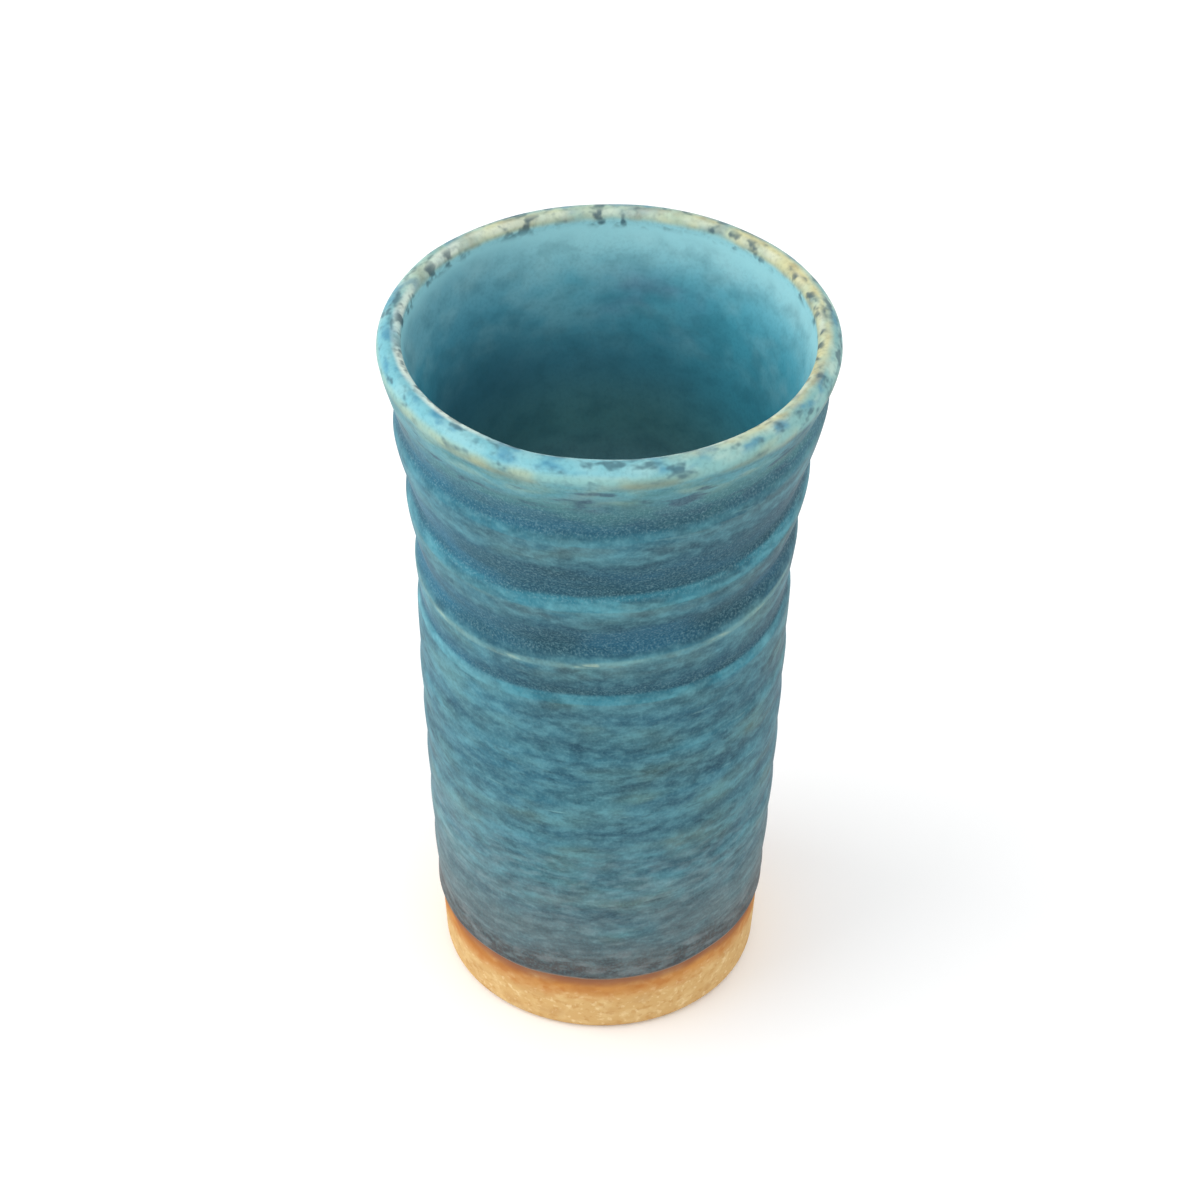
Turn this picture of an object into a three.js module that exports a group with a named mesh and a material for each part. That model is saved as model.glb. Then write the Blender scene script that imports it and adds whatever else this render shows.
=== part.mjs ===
// A tall hand-thrown stoneware sake cup with a spiral throwing ridge, glazed inside and out.
// Millimetres, +Z up, origin at the centre of the foot. The front of the cup faces -Y.
// The clay and each coat of glaze are separate solids that meet face to face.

import * as THREE from 'three';
import { ParametricGeometry } from 'three/addons/geometries/ParametricGeometry.js';
import { mergeGeometries, mergeVertices } from 'three/addons/utils/BufferGeometryUtils.js';

// Outline of the clay outside, measured on the crests of the ridge
const CUP_HEIGHT = 114;
const FOOT_RADIUS = 23.8;
const WAIST_RADIUS = 26.65;
const WAIST_HEIGHT = 68;
const LIP_RADIUS = 31.7;
const SWELL_CURVE = 1.5;
const FLARE_CURVE = 1.7;

// Clay wall, floor and lip
const WALL_THICKNESS = 2.8;
const FLOOR_THICKNESS = 5;
const INSIDE_CORNER_RADIUS = 7;
const LIP_ROUNDING = 0.9;
const LIP_OUTER_SHARE = 0.36;

// Foot: bevelled edge, flat ring to stand on, shallow turned recess
const FOOT_BEVEL = 0.6;
const FOOT_RING_WIDTH = 5;
const RECESS_DEPTH = 1.2;
const RECESS_SLOPE = 0.8;

// Spiral ridge left by the throwing finger: the pitch grows as the hand rises
const RIDGE_START_HEIGHT = 58;
const RIDGE_TURNS = 5;
const FIRST_RIDGE_PITCH = 7.4;
const RIDGE_DEPTH = 1;
const LEDGE_SHARE = 1 / 3;
const RIDGE_FADE_IN_TURNS = 1.6;
const RIDGE_FADE_OUT_TURNS = 0.6;

// Glaze: its lower line is tilted and wavy from the dip, its thickness follows the ridge
const GLAZE_LINE_HEIGHT = 11.4;
const GLAZE_LINE_TILT = 1.8;
const GLAZE_LINE_WAVE = 0.35;
const GLAZE_LINE_WAVES = 3;
const WALL_GLAZE = 0.4;
const CREST_GLAZE = 0.3;
const GROOVE_GLAZE = 0.6;
const BEAD_GLAZE = 0.5;
const BEAD_HEIGHT = 1.8;
const LIP_GLAZE = 0.35;
const LINER_GLAZE = 0.45;
const LIP_BAND_DEPTH = 6;

// Facets
const COLUMNS = 40;
const ROWS_PER_TURN = 6;
const FOOT_ROWS = 2;
const STRAIGHT_ROWS = 7;
const STRAIGHT_ROW_GROWTH = 1.8;
const LIP_SIDE_ROWS = 2;
const LIP_ROUND_ROWS = 3;
const INSIDE_ROWS = 7;
const CORNER_ROWS = 3;
const SEAM_ANGLE = Math.PI / 2;
const WELD_TOLERANCE = 1e-4;

const { clamp, lerp, smoothstep } = THREE.MathUtils;

// Heights that follow from the sizes above
const lipBandHeight = CUP_HEIGHT - LIP_BAND_DEPTH;
const lipSpringHeight = CUP_HEIGHT - LIP_GLAZE - LIP_ROUNDING;
const recessRadius = FOOT_RADIUS - FOOT_BEVEL - FOOT_RING_WIDTH;
const floorHeight = RECESS_DEPTH + FLOOR_THICKNESS;
const cornerHeight = floorHeight + INSIDE_CORNER_RADIUS;

// The outside wall swells from the foot to the waist, then flares to the lip
function wallRadius(height) {
  if (height < WAIST_HEIGHT) {
    const below = (WAIST_HEIGHT - height) / WAIST_HEIGHT;
    return WAIST_RADIUS - (WAIST_RADIUS - FOOT_RADIUS) * below ** SWELL_CURVE;
  }
  const above = (height - WAIST_HEIGHT) / (lipSpringHeight - WAIST_HEIGHT);
  return WAIST_RADIUS + (LIP_RADIUS - WAIST_RADIUS) * above ** FLARE_CURVE;
}

function insideRadius(height) {
  return wallRadius(height) - WALL_THICKNESS;
}

function glazeLine(angle) {
  const tilt = GLAZE_LINE_TILT * Math.cos(angle);
  const wave = GLAZE_LINE_WAVE * Math.sin(GLAZE_LINE_WAVES * angle);
  return GLAZE_LINE_HEIGHT + tilt + wave;
}

const bareClay = () => 0;

// A skin is a grid round the axis. Its rows run along the profile, its columns run round the cup,
// and place(row, turn, angle) gives [radius, height] for each point. Rows that run up the outside,
// over the lip and down the inside face out of the clay.
function skin(rows, place) {
  const surface = (turn, along, point) => {
    const angle = SEAM_ANGLE + turn * 2 * Math.PI;
    const [radius, height] = place(Math.round(along * rows), turn, angle);
    point.set(radius * Math.cos(angle), radius * Math.sin(angle), height);
  };
  return new ParametricGeometry(surface, COLUMNS, rows);
}

function flipped(geometry) {
  const turned = geometry.clone();
  const index = turned.index.array;
  for (let i = 0; i < index.length; i += 3) {
    [index[i + 1], index[i + 2]] = [index[i + 2], index[i + 1]];
  }
  return turned;
}

// Skins that share their border points become one closed solid without empty triangles
function welded(skins) {
  const joined = mergeGeometries(skins);
  joined.deleteAttribute('normal');
  joined.deleteAttribute('uv');
  const solid = mergeVertices(joined, WELD_TOLERANCE);
  const kept = [];
  const index = solid.index.array;
  for (let i = 0; i < index.length; i += 3) {
    const [a, b, c] = index.slice(i, i + 3);
    if (a !== b && b !== c && c !== a) kept.push(a, b, c);
  }
  solid.setIndex(kept);
  solid.computeVertexNormals();
  return solid;
}

// A flat ring at one height, from one radius to another
function flatRing(height, from, to) {
  return skin(1, (row) => [lerp(from, to, row), height]);
}

// Underside, from the axis out: recess, its sloping side, the ring that stands on the table, the bevel
function footSkin() {
  const outline = [
    [0, RECESS_DEPTH],
    [recessRadius - RECESS_SLOPE, RECESS_DEPTH],
    [recessRadius, 0],
    [FOOT_RADIUS - FOOT_BEVEL, 0],
    [wallRadius(FOOT_BEVEL), FOOT_BEVEL],
  ];
  return skin(outline.length - 1, (row) => outline[row]);
}

// Bare clay between the bevel and the glaze line
function bareSkin() {
  return skin(FOOT_ROWS, (row, turn, angle) => {
    const height = lerp(FOOT_BEVEL, glazeLine(angle), row / FOOT_ROWS);
    return [wallRadius(height), height];
  });
}

// Straight wall from the glaze line to the first ridge, with the rows closest at the glaze's lower edge
function straightSkin(coat) {
  return skin(STRAIGHT_ROWS, (row, turn, angle) => {
    const line = glazeLine(angle);
    const height = lerp(line, RIDGE_START_HEIGHT, (row / STRAIGHT_ROWS) ** STRAIGHT_ROW_GROWTH);
    return [wallRadius(height) + coat(row, height - line), height];
  });
}

// The dipped coat starts from nothing, gathers in a bead and thins to the coat on the wall
function dippedStraight(row, rise) {
  if (row === 0) return 0;
  return WALL_GLAZE + (BEAD_GLAZE - WALL_GLAZE) * Math.exp(-rise / BEAD_HEIGHT);
}

// Height on the spiral after so many turns of the wheel
function spiralHeight(turns) {
  const rise = lipBandHeight - RIDGE_START_HEIGHT;
  const growth = (rise - FIRST_RIDGE_PITCH * RIDGE_TURNS) / RIDGE_TURNS ** 2;
  return RIDGE_START_HEIGHT + FIRST_RIDGE_PITCH * turns + growth * turns ** 2;
}

// The ridge fades in from the straight wall and fades out under the lip
function ridgeStrength(turns) {
  const start = smoothstep(turns, 0, RIDGE_FADE_IN_TURNS);
  const end = smoothstep(turns, RIDGE_TURNS - RIDGE_FADE_OUT_TURNS, RIDGE_TURNS);
  return start * (1 - end);
}

// Share of the ridge depth, upwards from one crest to the next: a short round ledge in to the narrow
// groove, then a long slope out to the crest above
function grooveShare(phase) {
  if (phase < LEDGE_SHARE) return 1 - Math.cos((phase / LEDGE_SHARE) * (Math.PI / 2));
  return 1 - Math.sin(((phase - LEDGE_SHARE) / (1 - LEDGE_SHARE)) * (Math.PI / 2));
}

// Ridged wall. Each row climbs one pitch in a turn and meets the row that is one turn above it at the
// seam, so a crest is an unbroken line of edges. Rows that would pass either end stop there.
function ridgedSkin(coat) {
  const spiralRows = Math.ceil(RIDGE_TURNS * ROWS_PER_TURN);
  return skin(spiralRows + ROWS_PER_TURN, (row, turn) => {
    const turns = clamp(row / ROWS_PER_TURN + turn - 1, 0, RIDGE_TURNS);
    const share = grooveShare((row % ROWS_PER_TURN) / ROWS_PER_TURN);
    const strength = ridgeStrength(turns);
    const height = spiralHeight(turns);
    return [wallRadius(height) - RIDGE_DEPTH * share * strength + coat(share, strength), height];
  });
}

// Glaze runs off the crests and gathers in the grooves
function dippedRidged(share, strength) {
  return lerp(WALL_GLAZE, lerp(CREST_GLAZE, GROOVE_GLAZE, share), strength);
}

// Lip, from the outside of the band over two quarter rounds to the inside of the band
function lipSkin(coat) {
  const outerRound = WALL_THICKNESS * LIP_OUTER_SHARE;
  const innerRound = WALL_THICKNESS - outerRound;
  const crownRadius = LIP_RADIUS - outerRound;
  const outline = [];
  for (let i = 0; i < LIP_SIDE_ROWS; i++) {
    const height = lerp(lipBandHeight, lipSpringHeight, i / LIP_SIDE_ROWS);
    outline.push([wallRadius(height) + coat, height]);
  }
  for (let i = -LIP_ROUND_ROWS; i <= LIP_ROUND_ROWS; i++) {
    const angle = (i / LIP_ROUND_ROWS) * (Math.PI / 2);
    const reach = (i < 0 ? outerRound : innerRound) + coat;
    const rise = (LIP_ROUNDING + coat) * Math.cos(angle);
    outline.push([crownRadius - reach * Math.sin(angle), lipSpringHeight + rise]);
  }
  outline.push([insideRadius(lipBandHeight) - coat, lipBandHeight]);
  return skin(outline.length - 1, (row) => outline[row]);
}

// Inside, from the lip band down the wall, round the corner and across the floor to the axis
function insideSkin(coat) {
  const outline = [];
  for (let i = 0; i < INSIDE_ROWS; i++) {
    const height = lerp(lipBandHeight, cornerHeight, i / INSIDE_ROWS);
    outline.push([insideRadius(height) - coat, height]);
  }
  const centreRadius = insideRadius(cornerHeight) - INSIDE_CORNER_RADIUS;
  for (let i = 0; i <= CORNER_ROWS; i++) {
    const angle = (i / CORNER_ROWS) * (Math.PI / 2);
    const reach = INSIDE_CORNER_RADIUS - coat;
    outline.push([centreRadius + reach * Math.cos(angle), cornerHeight - reach * Math.sin(angle)]);
  }
  outline.push([0, floorHeight + coat]);
  return skin(outline.length - 1, (row) => outline[row]);
}

function piece(name, skins, look) {
  const mesh = new THREE.Mesh(welded(skins), new THREE.MeshStandardMaterial({ metalness: 0, ...look }));
  mesh.name = name;
  return mesh;
}

function stonewareBody() {
  const skins = [
    footSkin(),
    bareSkin(),
    straightSkin(bareClay),
    ridgedSkin(bareClay),
    lipSkin(0),
    insideSkin(0),
  ];
  return piece('stoneware_body', skins, { color: 0xdcac6e, roughness: 0.9 });
}

function outerGlaze() {
  const wall = wallRadius(lipBandHeight);
  const skins = [
    flipped(straightSkin(bareClay)),
    flipped(ridgedSkin(bareClay)),
    straightSkin(dippedStraight),
    ridgedSkin(dippedRidged),
    flatRing(lipBandHeight, wall + WALL_GLAZE, wall),
  ];
  return piece('outer_glaze', skins, { color: 0x55828e, roughness: 0.5 });
}

function lipGlaze() {
  const outside = wallRadius(lipBandHeight);
  const inside = insideRadius(lipBandHeight);
  const skins = [
    flipped(lipSkin(0)),
    flatRing(lipBandHeight, outside, outside + LIP_GLAZE),
    lipSkin(LIP_GLAZE),
    flatRing(lipBandHeight, inside - LIP_GLAZE, inside),
  ];
  return piece('lip_glaze', skins, { color: 0xa6d3d0, roughness: 0.45 });
}

function linerGlaze() {
  const inside = insideRadius(lipBandHeight);
  const skins = [
    flipped(insideSkin(0)),
    insideSkin(LINER_GLAZE),
    flatRing(lipBandHeight, inside, inside - LINER_GLAZE),
  ];
  return piece('liner_glaze', skins, { color: 0x508a99, roughness: 0.45 });
}

const cup = new THREE.Group();
cup.add(stonewareBody(), outerGlaze(), lipGlaze(), linerGlaze());

export default cup;
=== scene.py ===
# %% [markdown]
# # A thrown sake cup with a turquoise glaze
# The cup is one piece of stoneware clay with three coats of glaze fired on to it: outside, over the
# lip and inside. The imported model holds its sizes. This lesson gives it the surface that a wheel, a
# hand and a kiln leave: an uneven spiral ridge, a soft lip, glaze that pools and breaks, bare clay.

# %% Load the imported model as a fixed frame
import math

import bpy
import numpy as np
from mathutils import Matrix, Vector, noise


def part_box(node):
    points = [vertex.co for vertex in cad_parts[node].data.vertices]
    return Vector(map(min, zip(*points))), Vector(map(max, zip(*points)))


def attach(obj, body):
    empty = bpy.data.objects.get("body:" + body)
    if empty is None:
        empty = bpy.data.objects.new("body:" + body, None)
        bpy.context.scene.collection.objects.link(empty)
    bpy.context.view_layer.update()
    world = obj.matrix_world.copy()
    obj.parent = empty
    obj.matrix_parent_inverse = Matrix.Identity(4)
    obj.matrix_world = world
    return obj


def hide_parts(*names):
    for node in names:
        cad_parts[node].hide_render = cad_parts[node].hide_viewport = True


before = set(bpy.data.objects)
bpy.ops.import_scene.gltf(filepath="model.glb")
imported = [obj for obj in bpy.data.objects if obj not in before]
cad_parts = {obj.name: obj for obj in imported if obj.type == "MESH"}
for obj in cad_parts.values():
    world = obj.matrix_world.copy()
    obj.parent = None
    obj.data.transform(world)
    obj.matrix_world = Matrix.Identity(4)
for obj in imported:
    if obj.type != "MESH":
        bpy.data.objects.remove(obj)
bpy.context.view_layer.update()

MM = 0.001
scene = bpy.context.scene
print("nodes:", sorted(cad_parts))

# %% [markdown]
# ## Camera, light and floor
# The cup stands on a white table and is seen from above at about forty degrees through a long lens.
# The camera is set first. It is turned by
# a matrix: tilted down from the horizon, then rolled a little, as a hand-held camera is.

# %% Camera
CAMERA_LENS = 114
CAMERA_DISTANCE = 554.8 * MM
CAMERA_ELEVATION = math.radians(40.57)
CAMERA_ROLL = math.radians(0.86)
CAMERA_AIM = Vector((-0.63 * MM, 0, 65.7 * MM))

toward_camera = Vector((0, -math.cos(CAMERA_ELEVATION), math.sin(CAMERA_ELEVATION)))
tilt = Matrix.Rotation(math.pi / 2 - CAMERA_ELEVATION, 3, "X")
turned = (tilt @ Matrix.Rotation(CAMERA_ROLL, 3, "Z")).to_euler()
bpy.ops.object.select_all(action="DESELECT")
bpy.ops.object.camera_add(location=CAMERA_AIM + toward_camera * CAMERA_DISTANCE, rotation=turned)
camera = bpy.context.object
camera.data.lens = CAMERA_LENS
scene.camera = camera
print("camera at", [round(value, 4) for value in camera.location])

# %% [markdown]
# ### Light
# A strong softbox on the left and a weak one on the right stand in a white room. Lights as large as
# these give the slow change from light to shade that shows a satin glaze well, and the bright room
# keeps the shadow on the table pale. The standard view transform lets the white table stay white.

# %% Two softboxes on the camera's side and a white room around them
SOFTBOX_SIZE = 1.3
KEY_PLACE = Vector((-1.1, -0.2, 0.6))
KEY_POWER = 10.5
FILL_PLACE = Vector((0.62, -0.85, 0.55))
FILL_POWER = 2.5
ROOM_STRENGTH = 1.02

for name, spot, power in (("key", KEY_PLACE, KEY_POWER), ("fill", FILL_PLACE, FILL_POWER)):
    facing = (CAMERA_AIM - spot).to_track_quat("-Z", "Y").to_euler()
    bpy.ops.object.light_add(type="AREA", location=spot, rotation=facing)
    softbox = bpy.context.object
    softbox.name = name + "_softbox"
    softbox.data.size = SOFTBOX_SIZE
    softbox.data.energy = power

room = bpy.data.worlds.new("white_room")
room.use_nodes = True
room.node_tree.nodes["Background"].inputs["Color"].default_value = (1, 1, 1, 1)
room.node_tree.nodes["Background"].inputs["Strength"].default_value = ROOM_STRENGTH
scene.world = room
scene.view_settings.view_transform = "Standard"
print("two softboxes of", SOFTBOX_SIZE, "m, room at", ROOM_STRENGTH)

# %% [markdown]
# ### Table
# A single plane catches the shadow. It is so wide that its far edge stays out of the picture.

# %% Floor
FLOOR_SIZE = 8

bpy.ops.object.select_all(action="DESELECT")
bpy.ops.mesh.primitive_plane_add(size=FLOOR_SIZE)
floor = bpy.context.object
floor.name = "table_top"
print("table top of", FLOOR_SIZE, "m")

# %% [markdown]
# ## The outline of the clay
# On the wheel a pot is drawn by one outline that turns about the axis. Here the outline runs from the
# middle of the underside, over the foot ring, up the wall, over the lip and down the inside to the
# middle of the floor. It could be a curve, but plain points let the rows lie close where the ridge and
# the glaze line need them and wide apart where the wall is smooth.

# %% Sizes of the clay, in millimetres
LIP_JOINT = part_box("outer_glaze")[1].z / MM
LIP_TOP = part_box("lip_glaze")[1].z / MM
FLOOR_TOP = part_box("liner_glaze")[0].z / MM
LIP_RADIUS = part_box("stoneware_body")[1].x / MM
FOOT_RADIUS = 23.8
WAIST_RADIUS = 26.65
WAIST_HEIGHT = 68
SWELL_CURVE = 1.5
FLARE_CURVE = 1.7
WALL = 2.8
LIP_COAT = 0.35
LIP_ROUNDING = 1.75

lip_spring = LIP_TOP - LIP_COAT - LIP_ROUNDING


def wall_radius(height):
    """Outside of the clay: a slow swell from the foot to the waist, then a flare to the lip."""
    below = np.clip((WAIST_HEIGHT - height) / WAIST_HEIGHT, 0, None)
    above = np.clip((height - WAIST_HEIGHT) / (lip_spring - WAIST_HEIGHT), 0, None)
    swell = (WAIST_RADIUS - FOOT_RADIUS) * below ** SWELL_CURVE
    return WAIST_RADIUS - swell + (LIP_RADIUS - WAIST_RADIUS) * above ** FLARE_CURVE


measured = [round(float(wall_radius(height)), 2) for height in (0, WAIST_HEIGHT, lip_spring)]
print("wall at foot, waist and lip:", measured)

# %% [markdown]
# ### Underside and outer wall
# Each point of the outline becomes one ring of vertices. A shallow recess is turned under the foot, and
# the cup stands on the ring that is left. The numbers of the rows where the glaze starts and where the
# lip's coat starts are kept, because the coats are cut out along them later.

# %% Rows of the underside and the outer wall
RECESS_DEPTH = 1.2
RECESS_RADIUS = 17.4
RECESS_ROW = 4
RING_RADIUS = 18.2
FOOT_TOP = 1.6
FOOT_ROW = 0.8
GLAZE_LINE = 11.4
EDGE_TOP = 16.2
EDGE_ROW = 0.3
RIDGE_BOTTOM = 54
STRAIGHT_ROW = 0.8
RIDGE_ROW = 0.37


def rows(start, stop, step):
    """Heights or radii from start up to, but not with, stop, about one step apart."""
    count = max(1, round(abs(stop - start) / step))
    return list(np.linspace(start, stop, count, endpoint=False))


outline = [(radius, RECESS_DEPTH) for radius in rows(0, RECESS_RADIUS, RECESS_ROW)]
outline += [(RECESS_RADIUS, RECESS_DEPTH), (RING_RADIUS, 0), (FOOT_RADIUS, 0)]
wall_start = len(outline)
heights = rows(FOOT_TOP, GLAZE_LINE, FOOT_ROW)
glaze_row = wall_start + len(heights)
heights += rows(GLAZE_LINE, EDGE_TOP, EDGE_ROW) + rows(EDGE_TOP, RIDGE_BOTTOM, STRAIGHT_ROW)
heights += rows(RIDGE_BOTTOM, LIP_JOINT, RIDGE_ROW)
outer_joint_row = wall_start + len(heights)
heights += rows(LIP_JOINT, lip_spring, RIDGE_ROW)
outline += [(float(wall_radius(height)), height) for height in heights]
wall_stop = len(outline)
print("rows", wall_start, "to", wall_stop, "are the wall, the glaze starts at row", glaze_row)

# %% [markdown]
# ### Lip and inside
# A wet leather strip rounds the lip, more outside than inside. A quarter of an ellipse would give both
# sides the same curve, so each side has a superellipse with its own number. Inside, a rounded corner
# leads to the floor, as a finger leaves it.

# %% Rows of the lip and the inside
LIP_OUTER_REACH = 1.4
LIP_OUTER_CURVE = 1.6
LIP_INNER_CURVE = 3.2
LIP_STEPS = 11
LINER_ROW = 1.6
CORNER_RADIUS = 7
CORNER_STEP = 0.15


def lip_round(reach, curve, share):
    """A point on a rounded quarter: curve 2 is an ellipse, less is a bevel, more is squarer."""
    across = reach * math.cos(share * math.pi / 2) ** (2 / curve)
    up = LIP_ROUNDING * math.sin(share * math.pi / 2) ** (2 / curve)
    return across, up


crown_radius = LIP_RADIUS - LIP_OUTER_REACH
for step in range(LIP_STEPS):
    across, up = lip_round(LIP_OUTER_REACH, LIP_OUTER_CURVE, step / LIP_STEPS)
    outline.append((crown_radius + across, lip_spring + up))
for step in range(LIP_STEPS, 0, -1):
    across, up = lip_round(WALL - LIP_OUTER_REACH, LIP_INNER_CURVE, step / LIP_STEPS)
    outline.append((crown_radius - across, lip_spring + up))

corner_height = FLOOR_TOP + CORNER_RADIUS
heights = rows(lip_spring, LIP_JOINT, RIDGE_ROW)
inner_joint_row = len(outline) + len(heights)
heights += rows(LIP_JOINT, corner_height, LINER_ROW)
outline += [(float(wall_radius(height)) - WALL, height) for height in heights]
corner_middle = float(wall_radius(corner_height)) - WALL - CORNER_RADIUS
for turn in rows(0, math.pi / 2, CORNER_STEP):
    radius = corner_middle + CORNER_RADIUS * math.cos(turn)
    outline.append((radius, corner_height - CORNER_RADIUS * math.sin(turn)))
outline += [(radius, FLOOR_TOP) for radius in rows(corner_middle, 0, LINER_ROW)]
outline.append((0, FLOOR_TOP))
print("outline of", len(outline), "points")

# %% [markdown]
# ## The pot on the wheel
# One vertex is extruded from point to point along the outline and the line is spun once round the
# axis. The spin leaves a double seam and flat poles, so doubles are merged and the normals are made to
# agree. Before the spin every vertex gets its row number, which the copies keep: later that number
# says which part of the pot a vertex belongs to.

# %% Draw the outline and spin it
COLUMNS = 216
MERGE_DISTANCE = 0.002 * MM

points = [Vector((radius * MM, 0, height * MM)) for radius, height in outline]
bpy.ops.object.select_all(action="DESELECT")
bpy.ops.mesh.primitive_plane_add(size=MM)
body = bpy.context.object
body.name = "thrown_clay"
bpy.ops.object.mode_set(mode="EDIT")
bpy.ops.mesh.merge(type="CENTER")
bpy.ops.transform.translate(value=points[0])
for here, there in zip(points, points[1:]):
    bpy.ops.mesh.extrude_region_move(TRANSFORM_OT_translate={"value": there - here})
bpy.ops.object.mode_set(mode="OBJECT")

row_numbers = body.data.attributes.new("row", "FLOAT", "POINT")
row_numbers.data.foreach_set("value", np.arange(len(points), dtype=np.float32))
bpy.ops.object.mode_set(mode="EDIT")
bpy.ops.mesh.select_all(action="SELECT")
bpy.ops.mesh.spin(steps=COLUMNS, angle=2 * math.pi, center=(0, 0, 0), axis=(0, 0, 1))
bpy.ops.mesh.select_all(action="SELECT")
bpy.ops.mesh.remove_doubles(threshold=MERGE_DISTANCE)
bpy.ops.mesh.normals_make_consistent(inside=False)
bpy.ops.object.mode_set(mode="OBJECT")
print("spun", len(body.data.vertices), "vertices")

# %% [markdown]
# ## The spiral ridge
# While the wall is pulled up, the finger leaves one ridge that climbs anticlockwise round the cup.
# Above each crest lies a short ledge, a narrow groove and a long slope out to the next crest. Spin can
# only make level rings and the Screw modifier only an even thread, but this ridge changes pitch and
# depth as the hand rises. So the rows stay level and each vertex is pressed in by what the ridge is at
# its angle and height. For each turn the crest's height is read at five places, from the left side
# over the front to the right side, and joined smoothly. The lower wall was smoothed after pulling, so
# its turns are faint and even.

# %% The turns of the ridge, from the foot up, in millimetres
PLACES = 5
# parts of a turn: from one place to the next, and from the left side to the front
PLACE_STEP = 1 / 8
FRONT = 1 / 4
FAINT_TURNS = 6
FAINT_PITCH = 8.8
FAINT_FRONT = 57.8
FAINT_RISE = 1.6
FAINT_DEPTH = 0.26
FAINT_LEDGE = 3
FAINT_CYAN_AND_PAINTED_HIGHLIGHT = 0.3
FAINT_STRAW = 0.1

# five heights of the crest, depth of the groove above it, width of its ledge,
# then how much cyan its ledge shows, partly a painted highlight, and how much straw its crest shows
TURNS = [
    (68.6, 67.4, 69.6, 68.8, 70.9, 0.65, 2.2, 1.3, 0.15),
    (76.2, 74.9, 77.2, 78.3, 81.8, 1.35, 3.6, 0.15, 1.0),
    (88.0, 85.8, 87.5, 87.8, 92.6, 1.4, 4.0, 1.0, 0.4),
    (99.6, 99.7, 100.3, 102.4, 105.2, 1.25, 3.4, 0.45, 0.1),
    (111.4, 111.7, 112.0, 112.4, 112.8, 0.2, 1.6, 0, 0),
]
for turn in range(FAINT_TURNS):
    front = FAINT_FRONT - turn * FAINT_PITCH
    climb = [front + share * FAINT_RISE for share in np.linspace(-1, 1, PLACES)]
    TURNS.insert(0, (*climb, FAINT_DEPTH, FAINT_LEDGE, FAINT_CYAN_AND_PAINTED_HIGHLIGHT, FAINT_STRAW))
print("the ridge makes", len(TURNS), "turns,", FAINT_TURNS, "of them faint")

# %% [markdown]
# ### The crest between the places
# Straight lines between the places would leave corners, so the height is averaged over a short part of
# a turn. Depth, ledge width, colour and the ledge's painted highlight are named once a turn, in front
# of the cup, and joined up.

# %% Height of the crest and what goes with it
SMOOTHING_TURNS = 0.05
SMOOTHING_STEPS = 5

crest_turns = [turn + part * PLACE_STEP for turn in range(len(TURNS)) for part in range(PLACES)]
crest_heights = [height for turn in TURNS for height in turn[:PLACES]]


def crest_height(turns):
    """Height of the crest after so many turns from the left side, averaged over a bit of a turn."""
    shifts = np.linspace(-SMOOTHING_TURNS, SMOOTHING_TURNS, SMOOTHING_STEPS)
    return sum(np.interp(turns + shift, crest_turns, crest_heights) for shift in shifts) / len(shifts)


def along_ridge(turns, column):
    """One of the numbers that each turn gives, taken in front of the cup and joined up between."""
    return np.interp(turns, np.arange(len(TURNS)) + FRONT, [turn[column] for turn in TURNS])


measured = [round(float(crest_height(turn + FRONT)), 1) for turn in range(len(TURNS))]
print("crests in front:", measured)

# %% [markdown]
# ### The form between two crests
# For a point on the wall the nearest crests below and above it are found. The ledge sinks in along
# half a wave of a cosine and the slope comes out along a quarter wave of a sine, which gives round
# crests and narrow grooves. The same function tells how much a point is groove, ledge, crest, or brow,
# the slope just under a crest. Glaze looks different on each, and the colour also holds light: the
# ledges, which face up, get a painted highlight, and the brows, which face down, get painted shade.

# %% What the ridge is at an angle and a height
# columns of the list of turns, after the five heights
DEPTH, LEDGE, CYAN_AND_PAINTED_HIGHLIGHT, STRAW = 5, 6, 7, 8
FULL_DEPTH = 1.4
LEDGE_START = 0.4
LEDGE_SHARE = 0.6
LEDGE_FADE = 1.2
CREST_RISE = 0.1
CREST_WIDTH = 0.55
BROW_WIDTH = 5


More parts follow.
